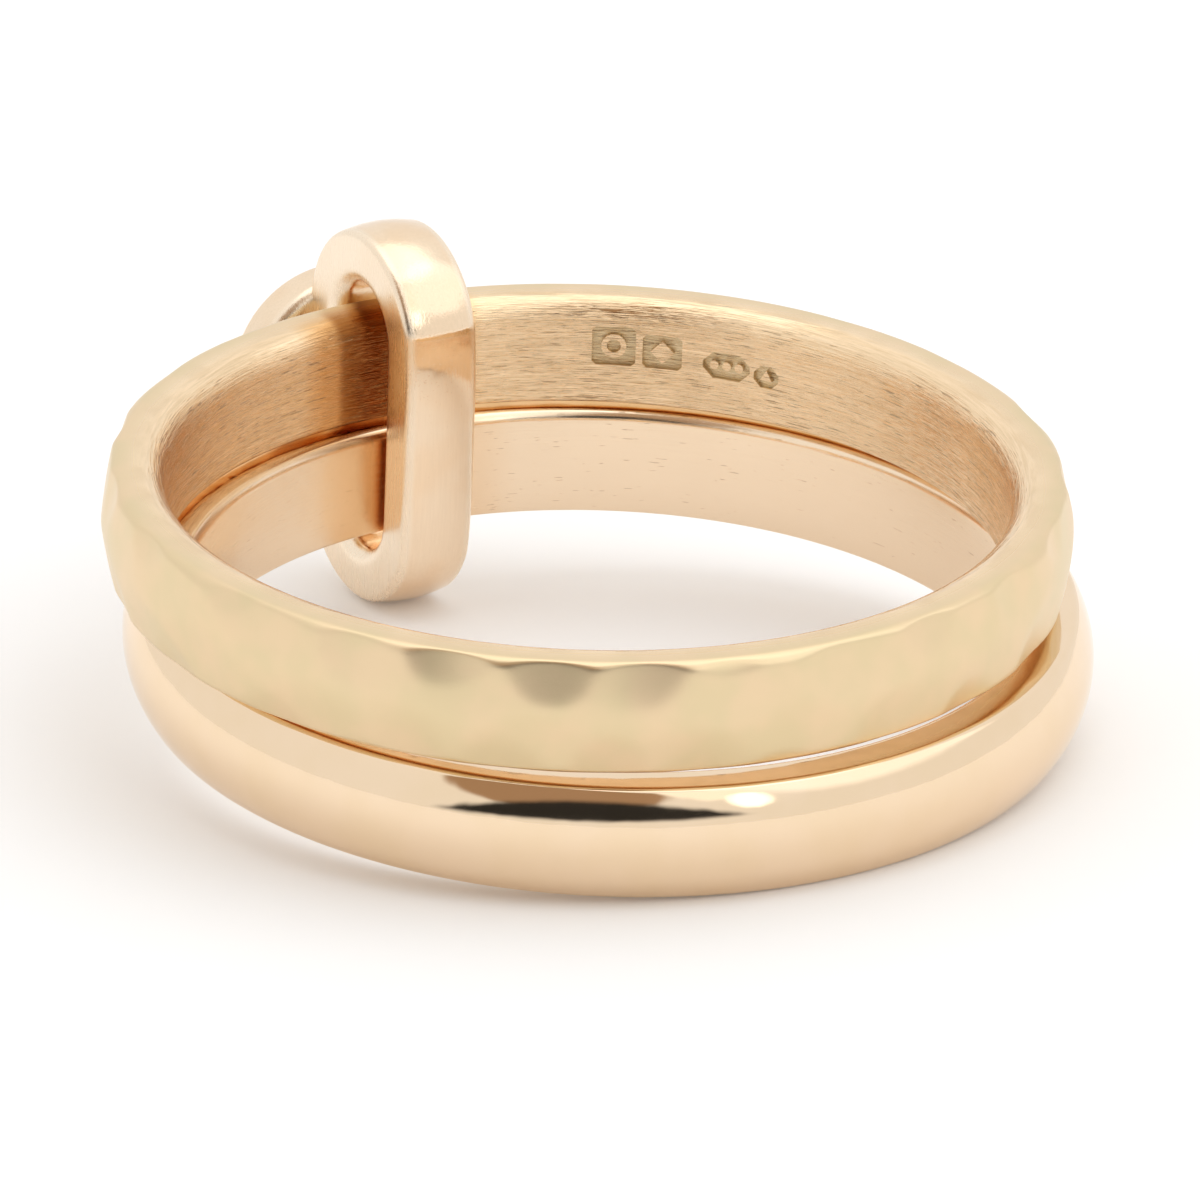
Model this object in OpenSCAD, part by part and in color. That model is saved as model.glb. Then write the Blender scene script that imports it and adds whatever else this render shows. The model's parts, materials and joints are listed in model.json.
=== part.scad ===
// Gimmel ring: a hammered band and a polished band that one oval link holds together.
// The ring lies on its side, with the link under its raised edge.
// X is to the right, Y to the back, Z up, in millimetres.

/* [Bands] */
// Inner diameter of both bands
finger_d = 17.2; // [15:0.1:22]
// Width of the hammered band, along the finger
hammered_w = 2.36; // [2:0.02:2.6]
// Thickness of the hammered band at its crown
hammered_t = 1.3; // [1.2:0.02:1.4]
// Width of the polished band, along the finger
polished_w = 2.38; // [2:0.02:2.6]
// Thickness of the polished band at its crown
polished_t = 1.35; // [1.2:0.02:1.4]
// Space between the two bands at the link
band_gap = 0.1; // [0.08:0.01:0.2]
// How far the hammered band stands open from the link on, in degrees
band_open = 0.7; // [0:0.05:1]
// How far the hammered band lies to the left of the polished one
band_left = 0.52; // [0:0.02:0.54]
// How far the hammered band lies to the back of the polished one
band_back = 0.1; // [0:0.02:0.16]

/* [Link] */
// Where the link sits on the polished band, in degrees from the right towards the back
link_turn = 120.5; // [0:0.5:360]
// Width of the link's wire, along the bands
link_w = 1.7; // [1.4:0.05:2.2]
// Thickness of the link's wire
link_t = 1.26; // [1:0.02:1.6]
// Clear width of the link's hole
hole_w = 2.14; // [2:0.02:2.4]
// Clear height of the link's hole
hole_h = 6; // [5.8:0.05:6.4]
// Diameter of the round boss on the outside of the link
boss_d = 4.6; // [3:0.1:5]
// Height of the boss above the link
boss_h = 1.2; // [0.7:0.1:1.4]
// How far the link hangs below the middle of the two bands
link_drop = 0.05; // [0:0.01:0.12]

/* [Hammering] */
// Number of hammer marks in each of the two rows
marks = 24; // [18:1:26]
// Mean depth of a hammer mark
mark_depth = 0.06; // [0.02:0.01:0.08]

/* [Punches] */
// Depth of the punched fields inside the hammered band
punch_depth = 0.09; // [0.05:0.01:0.12]

/* [Hidden] */
$fn = 96;
finger_r = finger_d / 2;

// Crown radii of the two bands, and the roundings of their outer, inner lower and inner upper edges
hammered_crown = 4.2;
hammered_edge = 0.3;
hammered_inner = [0.1, 0.55];
polished_crown = 1.9;
polished_edge = 0.22;
polished_inner = [0.08, 0.26];

// Link: the middle of its hole, its round ends, its crown and the roundings of its edges
hole_r = finger_r - 0.22 + hole_w / 2;
bend_out = hole_w / 2 + link_t;
limb_h = hole_h - hole_w;
link_mid = (hammered_w - polished_w) / 2 - link_drop;
wire_crown = 3;
wire_edge = 0.24;
wire_inner = [0.4, 0.4];

// Side on which the open hammered band stays low, in degrees from the right towards the back
low_turn = 140;

// Boss: its low dome and round edge; it overlaps the limb by the edge's rounding
boss_crown = 6;
boss_edge = 0.3;
boss_top = boss_h + boss_edge;

// Hammer marks: lean of each row's flats off the crown, and the size of the block that cuts one
mark_slope = 10;
mark_reach = 4;

// The ring leans on two rounds: the link's lower bend and the polished band's far lower edge
band_low = -band_gap / 2 - polished_w;
bend_z = link_mid - limb_h / 2;
far_r = edge_at(finger_r, polished_w, polished_t, polished_crown, polished_edge);
far_z = band_low + polished_edge;
lean_span = norm([hole_r + far_r, far_z - bend_z]);
lean = asin((bend_out - polished_edge) / lean_span) + atan2(far_z - bend_z, hole_r + far_r);
rest_z = bend_out - (bend_z * cos(lean) + hole_r * sin(lean));

// Middle of the footprint, so that the object stands on the middle of its box
middle = [0.24, -1];

// Where an edge rounding of radius r touches both the crown and the side, from the base on
function edge_at(base, w, t, crown, r) =
    base + t - crown + sqrt((crown - r) ^ 2 - (w / 2 - r) ^ 2);

// A number between -1 and 1 that looks unordered, from steps of the golden angle
function uneven(n) = sin(n * 137.508 + 40 * sin(n * 71));

// From the ring's own frame, with Z along the finger, to the resting pose
module resting() {
    translate([middle.x, middle.y, rest_z])
        rotate([0, 0, link_turn])
        rotate([0, -lean, 0])
        rotate([0, 0, -link_turn])
        children();
}

// Section of a band or wire from y = 0 up: a flat side at x = base and a crown that runs into
// round edges; inner has the roundings of the flat side's lower and upper edge
module section(base, w, t, crown, outer, inner) {
    edge = edge_at(base, w, t, crown, outer);
    centre = [base + t - crown, w / 2];
    low = [edge, outer];
    high = [edge, w - outer];
    intersection() {
        translate(centre)
            circle(crown);
        polygon([low, 2 * low - centre, 2 * high - centre, high, [base + t / 2, w / 2]]);
    }
    for (corner = [low, high])
        translate(corner)
            circle(outer);
    translate([base + inner[1], 0])
        square([edge - base - inner[1], w]);
    translate([base, inner[0]])
        square([inner[1], w - inner[0] - inner[1]]);
    translate([base + inner[0], 0])
        square([inner[1], w - inner[1]]);
    translate([base + inner[0], inner[0]])
        circle(inner[0]);
    translate([base + inner[1], w - inner[1]])
        circle(inner[1]);
}

// Flats left by the hammer: two staggered rows of planes that cut the crown
module hammer_marks() {
    crown_r = finger_r + hammered_t;
    for (row = [-1, 1], i = [0:marks - 1]) {
        n = i + marks * (row + 1);
        turn = (i + row / 4 + uneven(n) / 7) * 360 / marks;
        slope = row * mark_slope * (1 + uneven(n + 0.3) / 3);
        depth = mark_depth * (1 + uneven(n + 0.6) / 2);
        rotate([0, 0, turn])
            translate([crown_r - hammered_crown, 0, hammered_w / 2])
            rotate([0, -slope, 0])
            translate([hammered_crown - depth, -mark_reach / 2, -mark_reach / 2])
            cube(mark_reach);
    }
}

// Outline of a punched field with corners cut by c
module field(size, c) {
    x = size.x / 2;
    y = size.y / 2;
    polygon([
        [c - x, -y], [x - c, -y], [x, c - y], [x, y - c],
        [x - c, y], [c - x, y], [-x, y - c], [-x, c - y]
    ]);
}

// A field sunk into the inner wall around a raised sign, which comes as the child
module punch(turn, z, size, c) {
    rotate([0, 0, turn])
        translate([finger_r - 1 + punch_depth, 0, z])
        rotate([90, 0, 90])
        linear_extrude(1)
        difference() {
            field(size, c);
            children();
        }
}

module ring_sign() {
    difference() {
        circle(0.27);
        circle(0.15);
    }
}

module dots_sign() {
    for (x = [-0.28, 0, 0.28])
        translate([x, 0])
            circle(0.1);
}

// Turn from the right, height above the band's lower side, size and cut corners of each field
module punches() {
    punch(87, 1.34, [0.94, 0.88], 0.06)
        ring_sign();
    punch(80, 1.27, [0.86, 0.76], 0.06)
        circle(0.26, $fn = 4);
    punch(70.5, 1.14, [1.06, 0.6], 0.16)
        dots_sign();
    punch(64.4, 1.07, [0.58, 0.5], 0.12)
        circle(0.16, $fn = 3);
}

// Turns the hammered band up round the link's hole, away from the side where it stays low
module opened() {
    pivot = hole_r * [cos(link_turn), sin(link_turn), 0];
    translate(pivot)
        rotate([0, 0, low_turn])
        rotate([0, band_open, 0])
        rotate([0, 0, -low_turn])
        translate(-pivot)
        children();
}

module hammered_band() {
    color("#d9c08c")
        resting()
        opened()
        translate([-band_left, band_back, band_gap / 2])
        difference() {
            rotate_extrude()
                section(
                    finger_r, hammered_w, hammered_t, hammered_crown, hammered_edge, hammered_inner
                );
            hammer_marks();
            punches();
        }
}

module polished_band() {
    color("#e0a880")
        resting()
        translate([0, 0, band_low])
        rotate_extrude()
        section(finger_r, polished_w, polished_t, polished_crown, polished_edge, polished_inner);
}

// Section of the link's wire, its flat side at the hole
module wire_section() {
    translate([0, -link_w / 2])
        section(hole_w / 2, link_w, link_t, wire_crown, wire_edge, wire_inner);
}

// The loop stands in the plane through the finger's axis
module loop() {
    for (side = [0, 180])
        rotate([0, side, 0]) {
            translate([0, 0, -limb_h / 2])
                linear_extrude(limb_h)
                wire_section();
            translate([0, 0, limb_h / 2])
                rotate([90, 0, 0])
                rotate_extrude(angle = 180)
                wire_section();
        }
}

// Half the section of the boss: a low dome that runs into a round edge
module boss_section() {
    centre = [0, boss_top - boss_crown];
    edge_r = boss_d / 2 - boss_edge;
    edge = [edge_r, centre.y + sqrt((boss_crown - boss_edge) ^ 2 - edge_r ^ 2)];
    intersection() {
        translate(centre)
            circle(boss_crown);
        polygon([[0, 0], [edge_r, 0], edge, 2 * edge - centre, [0, 2 * boss_top]]);
    }
    for (z = [boss_edge, edge.y])
        translate([edge_r, z])
            circle(boss_edge);
    translate([edge_r, boss_edge])
        square([boss_edge, edge.y - boss_edge]);
}

// Round boss, soldered to the outer side of the loop
module boss() {
    rotate([0, 90, 0])
        rotate_extrude()
        boss_section();
}

module link() {
    color("#e3ad88")
        resting()
        rotate([0, 0, link_turn])
        translate([hole_r, 0, link_mid]) {
            loop();
            translate([hole_w / 2 + link_t - boss_edge, 0, 0])
                boss();
        }
}

hammered_band();
polished_band();
link();
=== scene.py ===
import json
import math
import bpy
from mathutils import Matrix, Vector


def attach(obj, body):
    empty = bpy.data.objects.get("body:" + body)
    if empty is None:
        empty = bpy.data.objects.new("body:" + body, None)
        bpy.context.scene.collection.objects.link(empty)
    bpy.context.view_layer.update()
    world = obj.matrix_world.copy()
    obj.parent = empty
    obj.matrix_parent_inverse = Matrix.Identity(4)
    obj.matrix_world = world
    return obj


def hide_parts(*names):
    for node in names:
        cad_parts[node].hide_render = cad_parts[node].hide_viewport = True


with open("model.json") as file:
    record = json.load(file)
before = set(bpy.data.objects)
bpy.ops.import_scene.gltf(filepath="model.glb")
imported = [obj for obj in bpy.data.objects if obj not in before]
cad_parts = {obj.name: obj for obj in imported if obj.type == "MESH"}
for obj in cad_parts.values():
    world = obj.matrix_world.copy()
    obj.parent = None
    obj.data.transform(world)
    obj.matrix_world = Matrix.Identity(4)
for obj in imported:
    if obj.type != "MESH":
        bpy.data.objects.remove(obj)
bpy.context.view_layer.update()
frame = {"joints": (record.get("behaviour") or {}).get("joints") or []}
print("frame loaded")

mm = 0.001  # sizes below are in millimetres, and are made metres where they are used

# The ring's own frame has Z along the finger and X to the right
# The link's frame has the same Z, with X from the finger's middle through the link
joints = {joint["name"]: joint for joint in frame["joints"]}
fingerAxis = Vector(joints["polished_band_turn"]["axis"]).normalized()
acrossLink = Vector(joints["band_open"]["axis"]).normalized()
ringCentre = Vector(joints["polished_band_turn"]["pos_m"])
linkAxes = Matrix((acrossLink.cross(fingerAxis), acrossLink, fingerAxis)).transposed()
linkPose = Matrix.Translation(ringCentre) @ linkAxes.to_4x4()

fit = dict(
    fingerRadius=8.6,
    gap=0.1,  # between the bands, at the link
    left=0.52, back=0.1,  # the hammered band lies this far off the polished one
    linkTurn=120.5,  # degrees from the right towards the back
    open=0.7, lowTurn=140,  # the hammered band stands open this far, and stays low on this side
    snug=0.9995,  # every piece stays a hair inside its solid
    weld=0.002,  # points nearer than this become one
    smooth=40,  # faces that meet at less than this many degrees are shaded as one
)
faces = dict(  # faces along the parts of a section
    flat=4, side=3, lowEdge=6, highEdge=14, outerEdge=8,
    bossUnder=4, bossEdge=8, bossSide=2, bossDome=16,
)
ringPose = linkPose @ Matrix.Rotation(-math.radians(fit["linkTurn"]), 4, "Z")


# Modelling steps, each in the ring's or the link's own frame until the piece is placed

def startSection(name, x, z):  # one vertex to draw a section from
    bpy.ops.object.select_all(action="DESELECT")
    bpy.ops.mesh.primitive_plane_add(size=mm, location=(x * mm, 0, z * mm))
    piece = bpy.context.object
    piece.name = name
    bpy.ops.object.mode_set(mode="EDIT")
    bpy.ops.mesh.merge(type="CENTER")
    return piece


def drawLine(dx, dz, pieces=1):
    for _ in range(pieces):
        step = (dx * mm / pieces, 0, dz * mm / pieces)
        bpy.ops.mesh.extrude_region_move(TRANSFORM_OT_translate={"value": step})


def sweep(centre, axis, degrees, steps):  # the spin tool itself turns the other way
    bpy.ops.mesh.spin(
        steps=steps, angle=-math.radians(degrees), center=Vector(centre) * mm, axis=axis
    )


def drawArc(x, z, degrees, steps):  # round (x, z), positive from Z towards X
    sweep((x, 0, z), (0, 1, 0), degrees, steps)


def weldPoints():
    bpy.ops.mesh.select_all(action="SELECT")
    bpy.ops.mesh.remove_doubles(threshold=fit["weld"] * mm)


def closeMesh():
    weldPoints()
    bpy.ops.mesh.normals_make_consistent(inside=False)
    bpy.ops.object.mode_set(mode="OBJECT")
    bpy.ops.object.transform_apply(location=True, rotation=True, scale=True)
    return bpy.context.object


def closeFlat(thickness):  # a flat outline becomes a prism
    bpy.ops.mesh.select_all(action="SELECT")
    bpy.ops.mesh.extrude_region_move(TRANSFORM_OT_translate={"value": (0, 0, thickness * mm)})
    return closeMesh()


def combine(piece, operation, other):  # the other mesh is used up
    bpy.ops.object.select_all(action="DESELECT")
    bpy.context.view_layer.objects.active = piece
    cut = piece.modifiers.new("combine", "BOOLEAN")
    cut.operation = operation
    cut.object = other
    cut.solver = "EXACT"
    bpy.ops.object.modifier_apply(modifier=cut.name)
    bpy.data.objects.remove(other)


def dropSlivers(piece):  # the faces without any area that a join can leave
    bpy.context.view_layer.objects.active = piece
    bpy.ops.object.mode_set(mode="EDIT")
    bpy.ops.mesh.select_all(action="SELECT")
    bpy.ops.mesh.quads_convert_to_tris()
    bpy.ops.mesh.dissolve_degenerate(threshold=fit["weld"] / 2 * mm)
    bpy.ops.mesh.select_all(action="SELECT")
    bpy.ops.mesh.quads_convert_to_tris()
    bpy.ops.object.mode_set(mode="OBJECT")


def place(piece, pose):  # its place goes into the mesh, and its object stays at the origin
    bpy.ops.object.select_all(action="DESELECT")
    piece.select_set(True)
    bpy.context.view_layer.objects.active = piece
    piece.data.transform(pose @ Matrix.Scale(fit["snug"], 4))
    bpy.ops.object.shade_smooth_by_angle(angle=math.radians(fit["smooth"]))


def finishPiece(piece, node, body, material):
    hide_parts(node)
    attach(piece, body)
    piece.data.materials.clear()
    piece.data.materials.append(material)
    print(piece.name, "done,", len(piece.data.polygons), "faces")


def drawSection(name, base, z, size):  # flat side at x = base, from z up, crown outside
    width, outer = size["width"], size["edge"]
    crownX = base + size["thickness"] - size["crown"]
    top = z + width
    side = width / 2 - outer
    reach = size["crown"] - outer
    edgeX = crownX + math.sqrt(reach ** 2 - side ** 2)
    half = math.degrees(math.asin(side / reach))  # half of the crown's arc
    low, high = size["inner"]
    piece = startSection(name, base, z + low)
    drawLine(0, width - low - high, faces["flat"])
    drawArc(base + high, top - high, 90, faces["highEdge"])
    drawLine(edgeX - base - high, 0, faces["side"])
    drawArc(edgeX, top - outer, 90 - half, faces["outerEdge"])
    drawArc(crownX, z + width / 2, 2 * half, size["crownSteps"])
    drawArc(edgeX, z + outer, 90 - half, faces["outerEdge"])
    drawLine(base + low - edgeX, 0, faces["side"])
    drawArc(base + low, z + low, 90, faces["lowEdge"])
    weldPoints()
    bpy.ops.mesh.select_all(action="SELECT")  # what is swept next
    return piece


def drawBand(name, band, z):
    drawSection(name, fit["fingerRadius"], z, band)
    sweep((0, 0, 0), (0, 0, 1), 360, band["turns"])
    return closeMesh()


# Shader maths: a Wire is one socket, and Python's operators on it add Math nodes

class Wire:
    def __init__(self, finish, socket):
        self.finish = finish
        self.socket = socket

    def calc(self, operation, *values):
        return self.finish.add("ShaderNodeMath", {"operation": operation}, dict(enumerate(values)))

    def __abs__(self):
        return self.calc("ABSOLUTE", self)

    def __add__(self, other):
        return self.calc("ADD", self, other)

    def __radd__(self, other):
        return self.calc("ADD", other, self)

    def __sub__(self, other):
        return self.calc("SUBTRACT", self, other)

    def __rsub__(self, other):
        return self.calc("SUBTRACT", other, self)

    def __mul__(self, other):
        return self.calc("MULTIPLY", self, other)

    def __rmul__(self, other):
        return self.calc("MULTIPLY", other, self)

    def __truediv__(self, other):
        return self.calc("DIVIDE", self, other)

    def __pow__(self, other):
        return self.calc("POWER", self, other)

    def step(self, low, high):  # 0 below low, 1 above high, soft between
        return self.finish.add(
            "ShaderNodeMapRange",
            {"interpolation_type": "SMOOTHSTEP"},
            {"Value": self, "From Min": low, "From Max": high},
        )

    def between(self, low, lowEnd, highStart, high):  # 1 from lowEnd to highStart, soft outside
        return self.step(low, lowEnd) * (1 - self.step(highStart, high))


class Finish:  # a node tree, with one method that adds any node
    def __init__(self, tree):
        self.tree = tree
        tree.nodes.clear()

    def add(self, kind, settings=None, inputs=None):
        node = self.tree.nodes.new(kind)
        for name, value in (settings or {}).items():
            setattr(node, name, value)
        for name, value in (inputs or {}).items():
            if isinstance(value, Wire):
                self.tree.links.new(value.socket, node.inputs[name])
            else:
                node.inputs[name].default_value = value
        return Wire(self, node.outputs[0]) if node.outputs else node

    def split(self, vector):
        outputs = self.add("ShaderNodeSeparateXYZ", {}, {"Vector": vector}).socket.node.outputs
        return [Wire(self, socket) for socket in outputs]

    def pick(self, kind, name, settings=None, inputs=None):  # a node's output by its name
        wire = self.add(kind, settings, inputs)
        return Wire(self, wire.socket.node.outputs[name])

    def mix(self, factor, first, second):  # colours, through a Mix node
        node = self.tree.nodes.new("ShaderNodeMix")
        node.data_type = "RGBA"
        for number, value in ((0, factor), (6, first), (7, second)):
            socket = node.inputs[number]
            if isinstance(value, Wire):
                self.tree.links.new(value.socket, socket)
            else:
                socket.default_value = value
        return Wire(self, node.outputs[2])

    def onPose(self, pose, size=(1, 1, 1)):  # Object coordinates in a piece's own frame
        settings = {"vector_type": "TEXTURE"}
        inputs = {
            "Vector": self.pick("ShaderNodeTexCoord", "Object"),
            "Location": pose.translation,
            "Rotation": pose.to_euler(),
            "Scale": [mm * side for side in size],
        }
        return self.add("ShaderNodeMapping", settings, inputs)

    def noise(self, pose, row):
        inputs = {
            "Vector": self.onPose(pose, row["size"]),
            "Scale": 1,
            "Detail": row["detail"],
            "Roughness": row["rough"],
        }
        wire = self.pick("ShaderNodeTexNoise", "Fac", {"noise_dimensions": "3D"}, inputs)
        return wire.step(*row["soft"]) if "soft" in row else wire

    def tint(self, mask, colour, row):  # the row's colour shows where the mask is
        return self.mix(mask * row["share"], colour, row["colour"])

    def bump(self, height, row, normal=None):
        inputs = {"Height": height, "Distance": row["depth"] * mm, "Strength": row["strength"]}
        if normal:
            inputs["Normal"] = normal
        return self.add("ShaderNodeBump", {}, inputs)

    def metal(self, colour, roughness, normal):
        inputs = {"Base Color": colour, "Roughness": roughness, "Normal": normal, "Metallic": 1}
        shader = self.add("ShaderNodeBsdfPrincipled", {}, inputs)
        self.add("ShaderNodeOutputMaterial", {}, {"Surface": shader})


def besideLink(x, y, row):  # 1 next to the link, 0 away from it; the mask of the painted shade and painted reflection next to the link
    turn = math.radians(fit["linkTurn"])
    along = x * math.cos(turn) + y * math.sin(turn)
    return (along / (x * x + y * y) ** 0.5).step(*row["soft"])


def newFinish(name):
    material = bpy.data.materials.new(name)
    material.use_nodes = True
    return material, Finish(material.node_tree)


link = dict(
    width=1.7, thickness=1.26, crown=3, edge=0.16, inner=(0.4, 0.4),
    holeWidth=2.14, holeHeight=6,
    crownSteps=24,  # faces across its crown
    limbSteps=16, bendSteps=72,  # faces along a limb and round a bend
    straight=0.9,  # half length of the inner limb's straight part
    shoulder=0.0375,  # how fast it bends beyond
    inset=0.22,  # the hole's inner side lies this far inside the bands' inner walls
    drop=0.05,  # the link's middle lies this far below the middle of the bands
    bossWidth=4.6, bossHeight=1.2, bossCrown=6, bossEdge=0.3, bossTurns=96,
)
holeRadius = fit["fingerRadius"] - link["inset"] + link["holeWidth"] / 2


# Hammered band

hammered = dict(
    width=2.36, thickness=1.3, crown=4.2, edge=0.3, inner=(0.1, 0.55),
    turns=640, crownSteps=30,  # faces round the band and across its crown
    marks=24,  # hammer marks in each of the two rows
    markDepth=0.06, markSlope=10,
    punchDepth=0.09,
    ridge=0.02,  # how softly two marks meet
    rimBow=1.7,  # how much more the marks along the edges bend than the band
    reach=0.35,  # a mark can't cut further round the band than this, in radians
    lowRim=7,  # the lower edge has the upper one's marks, this many degrees on
    rimMarks=(  # turn, slope and depth of these steeper marks
        (243, 14, 0.1), (254.5, 18.5, 0.14), (266.5, 18, 0.135), (277, 18, 0.135),
        (287, 26, 0.15), (301, 13, 0.1), (314, 20, 0.14), (330, 15, 0.11),
        (345, 22, 0.14), (2, 17, 0.11), (20, 21, 0.14), (39, 15, 0.11),
        (57, 19, 0.13), (75, 14, 0.1), (93, 20, 0.12), (110, 17, 0.11),
        (140, 20, 0.12), (156, 15, 0.11), (173, 21, 0.14), (190, 17, 0.11),
        (207, 20, 0.13), (226, 22, 0.14),
    ),
)


def uneven(n):  # a number between -1 and 1 that looks unordered
    return math.sin(math.radians(n * 137.508 + 40 * math.sin(math.radians(n * 71))))


def hammerMarks(band):  # turn, slope, depth and bow of each flat
    for row in (-1, 1):
        for i in range(band["marks"]):
            n = i + band["marks"] * (row + 1)
            turn = math.radians((i + row / 4 + uneven(n) / 7) * 360 / band["marks"])
            slope = math.radians(row * band["markSlope"] * (1 + uneven(n + 0.3) / 3))
            yield turn, slope, band["markDepth"] * (1 + uneven(n + 0.6) / 2), 1
    for turn, slope, depth in band["rimMarks"]:
        yield math.radians(turn), math.radians(slope), depth, band["rimBow"]
        yield math.radians(turn + band["lowRim"]), -math.radians(slope), depth, band["rimBow"]


def hammer(piece, band, z):  # moves the crown's points inwards to the flats
    crownX = fit["fingerRadius"] + band["thickness"] - band["crown"]
    middle = z + band["width"] / 2
    marks = list(hammerMarks(band))
    for vertex in piece.data.vertices:
        x, y, height = (c / mm for c in vertex.co)
        radius = math.hypot(x, y)
        if radius < crownX + band["crown"] - 1:  # the inner wall and the sides stay
            continue
        turn = math.atan2(y, x)
        total = 1
        for markTurn, slope, depth, bow in marks:
            off = (turn - markTurn + math.pi) % (2 * math.pi) - math.pi
            if abs(off) > band["reach"]:
                continue
            flat = crownX * math.cos(slope) + band["crown"] - depth
            flat -= (height - middle) * math.sin(slope)
            flat /= math.cos(slope) * math.cos(bow * off)
            total += math.exp(min(40, (radius - flat) / band["ridge"]))
        vertex.co.xy *= (radius - band["ridge"] * math.log(total)) / radius


def startFlat(width, height):
    bpy.ops.object.select_all(action="DESELECT")
    bpy.ops.mesh.primitive_plane_add(size=mm)
    bpy.ops.object.mode_set(mode="EDIT")
    bpy.ops.transform.resize(value=(width, height, 1))


def startDisc(radius, sides, across=0):
    bpy.ops.object.select_all(action="DESELECT")
    bpy.ops.mesh.primitive_circle_add(
        vertices=sides,
        radius=radius * mm,
        fill_type="NGON",
        location=(across * mm, 0, -signs["below"] * mm),
    )
    bpy.ops.object.mode_set(mode="EDIT")


signs = dict(  # they go right through the block that sinks a field round them
    block=1, height=2, below=0.5,
    ring=0.27, ringWidth=0.12, lozenge=0.26, triangle=0.16,
    dot=0.1, dotSpacing=0.28,
)


def ringSign():
    startDisc(signs["ring"], 40)
    bpy.ops.mesh.inset(thickness=signs["ringWidth"] * mm)
    bpy.ops.mesh.delete(type="FACE")
    return [closeFlat(signs["height"])]


def lozengeSign():
    startDisc(signs["lozenge"], 4)
    return [closeFlat(signs["height"])]


def dotsSign():
    dots = []
    for side in (-1, 0, 1):
        startDisc(signs["dot"], 24, side * signs["dotSpacing"])
        dots.append(closeFlat(signs["height"]))
    return dots


def triangleSign():
    startDisc(signs["triangle"], 3)
    return [closeFlat(signs["height"])]


def punchBlock(turn, height, width, tall, corner, makeSign):  # a field without its raised sign
    startFlat(width, tall)
    bpy.ops.mesh.bevel(affect="VERTICES", offset=corner * math.sqrt(2) * mm, segments=1)
    block = closeFlat(signs["block"])
    for sign in makeSign():
        combine(block, "DIFFERENCE", sign)
    start = fit["fingerRadius"] + hammered["punchDepth"] - signs["block"]
    block.data.transform(
        Matrix.Rotation(math.radians(turn), 4, "Z")
        @ Matrix.Translation((start * mm, 0, height * mm))
        @ Matrix(((0, 0, 1, 0), (1, 0, 0, 0), (0, 1, 0, 0), (0, 0, 0, 1)))
    )
    return block


punches = (  # turn, height above the band's lower side, width, height, cut corner, sign
    (87, 1.34, 0.94, 0.88, 0.06, ringSign),
    (80, 1.27, 0.86, 0.76, 0.06, lozengeSign),
    (70.5, 1.14, 1.06, 0.6, 0.16, dotsSign),
    (64.4, 1.07, 0.58, 0.5, 0.12, triangleSign),
)

hammeredLow = fit["gap"] / 2
hammeredBand = drawBand("hammeredBand", hammered, hammeredLow)
hammer(hammeredBand, hammered, hammeredLow)
print("band hammered")
for turn, height, width, tall, corner, makeSign in punches:
    block = punchBlock(turn, hammeredLow + height, width, tall, corner, makeSign)
    combine(hammeredBand, "DIFFERENCE", block)
print("band punched")
pivot = Vector((holeRadius * mm, 0, 0))
pivot.rotate(Matrix.Rotation(math.radians(fit["linkTurn"]), 3, "Z"))
lowSide = Matrix.Rotation(math.radians(fit["lowTurn"]), 4, "Z")
opened = lowSide @ Matrix.Rotation(math.radians(fit["open"]), 4, "Y") @ lowSide.inverted()
opened = Matrix.Translation(pivot) @ opened @ Matrix.Translation(-pivot)
hammeredPose = ringPose @ opened @ Matrix.Translation((-fit["left"] * mm, fit["back"] * mm, 0))
place(hammeredBand, hammeredPose)


# Noises have the size of their features and the limits that they are spread between, tints a share
satinLook = dict(
    coarse=dict(size=(1.8, 1.8, 0.07), detail=3, rough=0.6, soft=(0.3, 0.7)),  # strokes
    fine=dict(size=(1.1, 1.1, 0.024), detail=2, rough=0.6, soft=(0.35, 0.65)),
    scratches=dict(size=(0.6, 0.6, 0.026), detail=1, rough=0.5, soft=(0.64, 0.72)),
    grain=dict(size=(1 / 16,) * 3, detail=3, rough=0.6),
    clouds=dict(size=(1 / 0.8,) * 3, detail=2, rough=0.5, soft=(0.3, 0.7)),
    wall=(8.9, 9.6), scratched=(8.62, 8.85),  # radii over which these end
    fields=(0.6, 0.7, 1.95, 2.05),  # heights of the punched fields
    floors=(8.63, 8.67, 8.72, 8.76), rims=(8.605, 8.62, 8.64, 8.67),  # their radii
    yellow=(0.765, 0.62, 0.38, 1), warm=(0.825, 0.635, 0.405, 1), inner=(0.965, 0.745, 0.495, 1),
    stroke=dict(colour=(0.64, 0.44, 0.23, 1), share=0.5),
    # painted reflection of the link: a darker orange tint on the inner wall next to it
    paintedLinkReflection=dict(colour=(0.80, 0.44, 0.155, 1), share=0.7, soft=(0.965, 0.985)),
    # painted shade: a dark narrow strip on the inner wall right beside the link
    corner=dict(colour=(0.38, 0.15, 0.035, 1), share=0.8, soft=(0.989, 0.993)),
    scratch=dict(colour=(0.25, 0.15, 0.07, 1), share=0.6),
    sunk=dict(colour=(0.52, 0.44, 0.27, 1), share=0.6),
    # painted highlight: a pale tint on the edges of the punched fields and their raised signs
    paintedRimHighlight=dict(colour=(0.95, 0.86, 0.62, 1), share=0.3),
    outerRough=0.34, innerRough=0.18, strokeRough=0.04, sunkRough=0.06,
    grainHeight=0.1, relief=dict(depth=0.014, strength=0.8),
)


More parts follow.
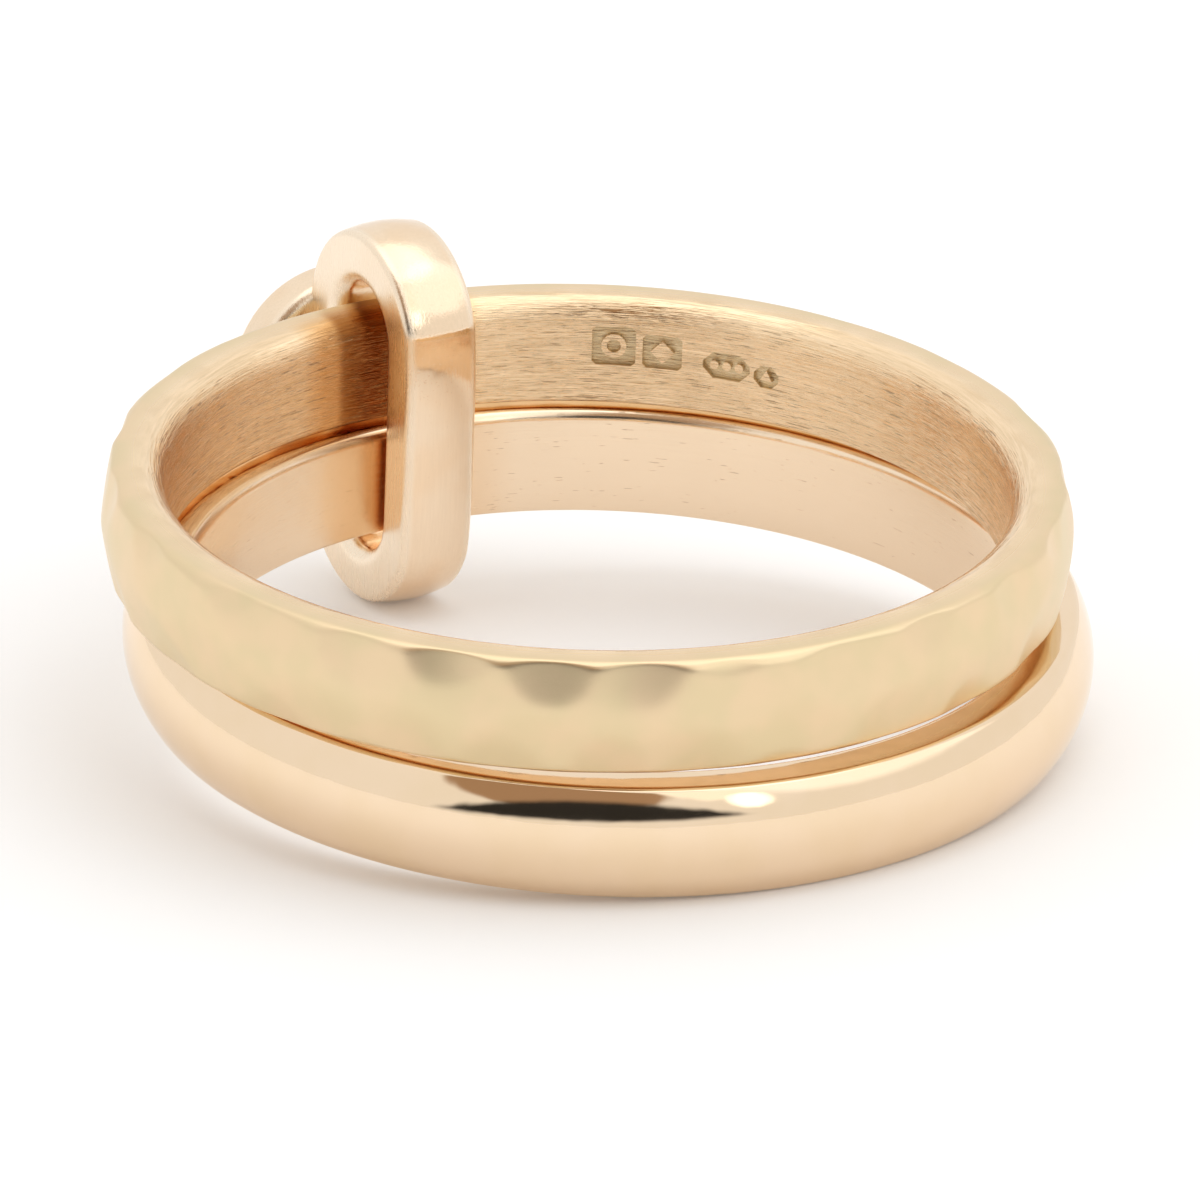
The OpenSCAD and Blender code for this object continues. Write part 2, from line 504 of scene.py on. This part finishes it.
def satinGold(look):  # satin outside, with strokes along the inner wall
    material, finish = newFinish("satinYellowGold")
    x, y, z = finish.split(finish.onPose(hammeredPose))  # in millimetres
    radius = (x * x + y * y) ** 0.5
    inside = 1 - radius.step(*look["wall"])
    punched = z.between(*look["fields"])
    sunk = punched * radius.between(*look["floors"])
    strokes = 0.5 * (
        finish.noise(hammeredPose, look["coarse"]) + finish.noise(hammeredPose, look["fine"])
    )
    scratch = finish.noise(hammeredPose, look["scratches"]) * (1 - radius.step(*look["scratched"]))
    grain = finish.noise(hammeredPose, look["grain"])
    colour = finish.mix(finish.noise(hammeredPose, look["clouds"]), look["yellow"], look["warm"])
    colour = finish.mix(inside, colour, look["inner"])
    colour = finish.tint(inside * (1 - strokes), colour, look["stroke"])
    # painted reflection and painted shade on the inner wall next to the link
    for name in ("paintedLinkReflection", "corner"):
        colour = finish.tint(inside * besideLink(x, y, look[name]), colour, look[name])
    colour = finish.tint(scratch, colour, look["scratch"])
    colour = finish.tint(sunk, colour, look["sunk"])
    # painted highlight on the edges of the punched fields
    colour = finish.tint(punched * radius.between(*look["rims"]), colour, look["paintedRimHighlight"])
    height = strokes * inside + grain * look["grainHeight"] * (1 - inside) - scratch
    smoother = look["outerRough"] - look["innerRough"] - look["strokeRough"] * strokes
    roughness = look["outerRough"] - smoother * inside + look["sunkRough"] * sunk
    finish.metal(colour, roughness, finish.bump(height, look["relief"]))
    return material


satin = satinGold(satinLook)
finishPiece(hammeredBand, "hammered_band", "hammered_band", satin)


# Polished band

polished = dict(
    width=2.38, thickness=1.35, crown=1.9, edge=0.22, inner=(0.08, 0.26),
    turns=512, crownSteps=40,  # faces round the band and across its crown
)
polishedBand = drawBand("polishedBand", polished, -fit["gap"] / 2 - polished["width"])
place(polishedBand, ringPose)


polishedLook = dict(
    strokes=dict(size=(1.5, 1.5, 0.05), detail=3, rough=0.6, soft=(0.25, 0.75)),
    scratches=dict(size=(0.35, 0.35, 0.03), detail=1, rough=0.5, soft=(0.72, 0.78)),
    ripples=dict(size=(1 / 0.9,) * 3, detail=2, rough=0.5),
    clouds=dict(size=(1 / 0.6,) * 3, detail=3, rough=0.5, soft=(0.35, 0.65)),
    wall=(8.65, 8.8),  # radii over which the inner wall's wear ends
    rose=(0.87, 0.675, 0.46, 1), pale=(0.89, 0.695, 0.49, 1), inner=(0.945, 0.765, 0.565, 1),
    # painted reflection of the link: a darker orange tint on the inner wall next to it
    paintedLinkReflection=dict(colour=(0.80, 0.44, 0.155, 1), share=0.3, soft=(0.955, 0.995)),
    scratch=dict(colour=(0.5, 0.3, 0.16, 1), share=0.5),
    rough=0.05, cloudRough=0.03, innerRough=0.12, strokeRough=0.08,
    swell=dict(depth=0.02, strength=0.5), relief=dict(depth=0.003, strength=0.5),
)


def polishedGold(look):  # a mirror outside, with fine wear along the inner wall
    material, finish = newFinish("polishedRoseGold")
    x, y = finish.split(finish.onPose(ringPose))[:2]
    inside = 1 - ((x * x + y * y) ** 0.5).step(*look["wall"])
    strokes = finish.noise(ringPose, look["strokes"])
    scratch = finish.noise(ringPose, look["scratches"])
    cloud = finish.noise(ringPose, look["clouds"])
    colour = finish.mix(cloud, look["rose"], look["pale"])
    colour = finish.mix(inside, colour, look["inner"])
    # painted reflection next to the link
    colour = finish.tint(inside * besideLink(x, y, look["paintedLinkReflection"]), colour, look["paintedLinkReflection"])
    colour = finish.tint(inside * scratch, colour, look["scratch"])
    worn = inside * (look["innerRough"] + look["strokeRough"] * strokes)
    swell = finish.bump(finish.noise(ringPose, look["ripples"]), look["swell"])
    normal = finish.bump(inside * (strokes - scratch), look["relief"], swell)
    finish.metal(colour, look["rough"] + look["cloudRough"] * cloud + worn, normal)
    return material


rose = polishedGold(polishedLook)
finishPiece(polishedBand, "polished_band", "polished_band", rose)


# Link with its boss

def easeShoulders(piece, size):  # the inner limb bends early and gently into the round ends
    reach = size["holeWidth"] / 2 + size["thickness"]
    limb = (size["holeHeight"] - size["holeWidth"]) / 2
    for vertex in piece.data.vertices:
        x, z = vertex.co.x / mm, abs(vertex.co.z) / mm
        if x < 0 and z > size["straight"]:
            radius = math.hypot(x, max(0, z - limb))  # from the middle of the round end
            bend = size["shoulder"] * (z - size["straight"]) ** 2
            vertex.co.x += max(0, bend - radius - x) * min(1, radius / reach) ** 3 * mm


def drawLoop(size):  # lying flat: round the two bends and along the two limbs
    limb = size["holeHeight"] - size["holeWidth"]
    piece = drawSection("ovalLink", size["holeWidth"] / 2, -size["width"] / 2, size)
    bpy.ops.transform.translate(value=(0, limb / 2 * mm, 0))
    for side in (1, -1):
        sweep((0, side * limb / 2, 0), (0, 0, 1), 180, size["bendSteps"])
        step = (0, -side * limb * mm / size["limbSteps"], 0)
        for _ in range(size["limbSteps"]):
            bpy.ops.mesh.extrude_region_move(TRANSFORM_OT_translate={"value": step})
    closeMesh()
    piece.data.transform(Matrix.Rotation(math.radians(90), 4, "X"))
    easeShoulders(piece, size)
    return piece


def drawBoss(size, x):
    top = size["bossHeight"] + size["bossEdge"]
    edgeR = size["bossWidth"] / 2 - size["bossEdge"]
    reach = size["bossCrown"] - size["bossEdge"]
    crownZ = top - size["bossCrown"]
    edgeZ = crownZ + math.sqrt(reach ** 2 - edgeR ** 2)
    half = math.degrees(math.asin(edgeR / reach))  # half of the dome's arc
    piece = startSection("boss", 0, 0)
    drawLine(edgeR, 0, faces["bossUnder"])
    drawArc(edgeR, size["bossEdge"], -90, faces["bossEdge"])
    drawLine(0, edgeZ - size["bossEdge"], faces["bossSide"])
    drawArc(edgeR, edgeZ, half - 90, faces["bossEdge"])
    drawArc(0, crownZ, -half, faces["bossDome"])
    bpy.ops.mesh.select_all(action="SELECT")
    sweep((0, 0, 0), (0, 0, 1), 360, size["bossTurns"])
    closeMesh()
    outwards = Matrix.Rotation(math.radians(90), 4, "Y")
    piece.data.transform(Matrix.Translation((x * mm, 0, 0)) @ outwards)
    return piece


linkPiece = drawLoop(link)
bossStart = link["holeWidth"] / 2 + link["thickness"] - link["bossEdge"]
combine(linkPiece, "UNION", drawBoss(link, bossStart))
dropSlivers(linkPiece)
linkMiddle = (hammered["width"] - polished["width"]) / 2 - link["drop"]
place(linkPiece, linkPose @ Matrix.Translation((holeRadius * mm, 0, linkMiddle * mm)))


linkLook = dict(
    scratches=dict(size=(0.05, 0.05, 0.9), detail=3, rough=0.6, soft=(0.3, 0.7)),
    specks=dict(size=(1 / 14,) * 3, detail=3, rough=0.6, soft=(0.6, 0.75)),
    ripples=dict(size=(1 / 0.8,) * 3, detail=2, rough=0.5),
    clouds=dict(size=(1 / 0.7,) * 3, detail=2, rough=0.5, soft=(0.35, 0.65)),
    sides=(0.6, 0.72), boss=(11.6, 11.8),  # where the loop's edges and the boss begin
    rose=(0.91, 0.70, 0.49, 1), pale=(0.925, 0.745, 0.55, 1), scratch=(0.6, 0.42, 0.26, 1),
    speckShare=0.12, scratchShare=0.08,
    # painted highlight: a paler tint along the loop's edges, which are also rougher
    worn=dict(colour=(0.94, 0.82, 0.66, 1), share=0.5),
    rough=0.06, scratchRough=0.04, wornRough=0.2,
    swell=dict(depth=0.035, strength=0.6), relief=dict(depth=0.002, strength=0.6),
)


def linkGold(look):  # a mirror with rougher edges that carry a painted highlight
    material, finish = newFinish("linkRoseGold")
    scratches = finish.noise(ringPose, look["scratches"])
    specks = finish.noise(ringPose, look["specks"])
    x, y = finish.split(finish.onPose(linkPose))[:2]
    edges = abs(y).step(*look["sides"]) * (1 - x.step(*look["boss"]))  # the loop's, not the boss's
    colour = finish.mix(finish.noise(ringPose, look["clouds"]), look["rose"], look["pale"])
    wear = specks * look["speckShare"] + (1 - scratches) * look["scratchShare"]
    colour = finish.mix(wear, colour, look["scratch"])
    # painted highlight along the loop's edges
    colour = finish.tint(edges, colour, look["worn"])
    swell = finish.bump(finish.noise(ringPose, look["ripples"]), look["swell"])
    roughness = look["rough"] + look["scratchRough"] * scratches + look["wornRough"] * edges
    finish.metal(colour, roughness, finish.bump(scratches - specks, look["relief"], swell))
    return material


finishPiece(linkPiece, "link", "link", linkGold(linkLook))


# Floor, light and camera

studio = dict(
    floor=0.95, floorGlow=0.065, floorSize=1.2,
    wall=0.97, ceiling=0.1,  # the ceiling is brighter than the wall by this much
    overhead=(0.05, 0.05, 0.5), overheadSize=0.5, overheadPower=0.31,
    bounces=16, glossyBounces=12,  # many, between the bands and the link
)

# Round panels that the gold mirrors: turn from the front to the right, height and half widths
# in degrees, and how softly they end
panels = (
    dict(turn=75, height=47, wide=42, high=27, soft=0.3, colour=(1.35, 1.37, 1.4, 1)),  # window
    dict(turn=-9, height=44, wide=29, high=28, soft=0.15, colour=(0.42, 0.28, 0.18, 1)),  # brown
    dict(turn=29, height=44, wide=11, high=16, soft=0.3, colour=(1.3, 1.3, 1.25, 1)),  # pale
    dict(turn=36, height=25, wide=5, high=9, soft=0.5, colour=(2.2, 2.2, 2.2, 1)),  # lamp
)
# The dark dome of the lens, which leans a little
lens = dict(turn=-2, height=4.5, wide=38, high=28, lean=0.1, colour=(0.03, 0.03, 0.03, 1))


def layFloor():
    bpy.ops.mesh.primitive_plane_add(size=studio["floorSize"], location=(0, 0, 0))
    floor = bpy.context.object
    floor.name = "floor"
    material, finish = newFinish("paper")
    white = studio["floor"]
    paper = finish.add("ShaderNodeBsdfDiffuse", {}, {"Color": (white, white, white, 1)})
    glow = finish.add("ShaderNodeEmission", {}, {"Strength": studio["floorGlow"]})
    shader = finish.add("ShaderNodeAddShader", {}, {0: paper, 1: glow})
    finish.add("ShaderNodeOutputMaterial", {}, {"Surface": shader})
    floor.data.materials.append(material)


def onPanel(turn, height, panel):  # distances from a panel's middle, 1 at its edge
    off = turn - panel["turn"]
    up = (height - panel["height"] - panel.get("lean", 0) * off) / panel["high"]
    return off / panel["wide"], up


def lightTent():  # pale walls all round, with the panels and the dark dome of the lens
    world = bpy.data.worlds.new("tent")
    bpy.context.scene.world = world
    world.use_nodes = True
    finish = Finish(world.node_tree)
    x, y, z = finish.split(finish.pick("ShaderNodeTexCoord", "Generated"))
    turn = x.calc("ARCTAN2", x, -1 * y) * (180 / math.pi)
    height = z.calc("ARCSINE", z) * (180 / math.pi)
    level = studio["wall"] + studio["ceiling"] * height.step(20, 80)
    colour = finish.add("ShaderNodeCombineColor", {}, {0: level, 1: level, 2: level})
    for panel in panels:
        across, up = onPanel(turn, height, panel)
        inside = 1 - (across ** 2 + up ** 2).step(1 - panel["soft"], 1 + panel["soft"])
        colour = finish.mix(inside, colour, panel["colour"])
    across, up = onPanel(turn, height, lens)
    dome = (1 - across ** 2 - up).step(0, 0.25) * up.step(-0.05, 0.15)
    colour = finish.mix(dome, colour, lens["colour"])
    shader = finish.add("ShaderNodeBackground", {}, {"Color": colour})
    finish.add("ShaderNodeOutputWorld", {}, {"Surface": shader})


def hangOverhead():
    light = bpy.data.lights.new("overhead", "AREA")
    light.shape = "DISK"
    light.size = studio["overheadSize"]
    light.energy = studio["overheadPower"]
    lamp = bpy.data.objects.new("overhead", light)
    bpy.context.collection.objects.link(lamp)
    lamp.location = studio["overhead"]


camera = dict(
    azimuth=-0.826, elevation=20.097, roll=-0.638,  # degrees
    distance=150, aim=(0.017, -1.137, 2.925), lens=220.29, sensor=36,
    near=0.01, far=10,  # metres
)


def setCamera():
    optics = bpy.data.cameras.new("camera")
    optics.lens = camera["lens"]
    optics.sensor_width = camera["sensor"]
    optics.clip_start, optics.clip_end = camera["near"], camera["far"]
    eye = bpy.data.objects.new("camera", optics)
    bpy.context.collection.objects.link(eye)
    turn, rise = math.radians(camera["azimuth"]), math.radians(camera["elevation"])
    level = math.cos(rise)
    ahead = Vector((math.sin(turn) * level, math.cos(turn) * level, -math.sin(rise)))
    right = ahead.cross((0, 0, 1)).normalized()
    up = right.cross(ahead)
    tilt = Matrix.Rotation(math.radians(-camera["roll"]), 3, ahead)
    axes = Matrix((tilt @ right, tilt @ up, -ahead)).transposed()
    position = (Vector(camera["aim"]) - ahead * camera["distance"]) * mm
    eye.matrix_world = Matrix.Translation(position) @ axes.to_4x4()
    bpy.context.scene.camera = eye


layFloor()
lightTent()
hangOverhead()
setCamera()
bpy.context.scene.view_settings.view_transform = "Standard"
bpy.context.scene.cycles.max_bounces = studio["bounces"]
bpy.context.scene.cycles.glossy_bounces = studio["glossyBounces"]
print("floor, light and camera set")
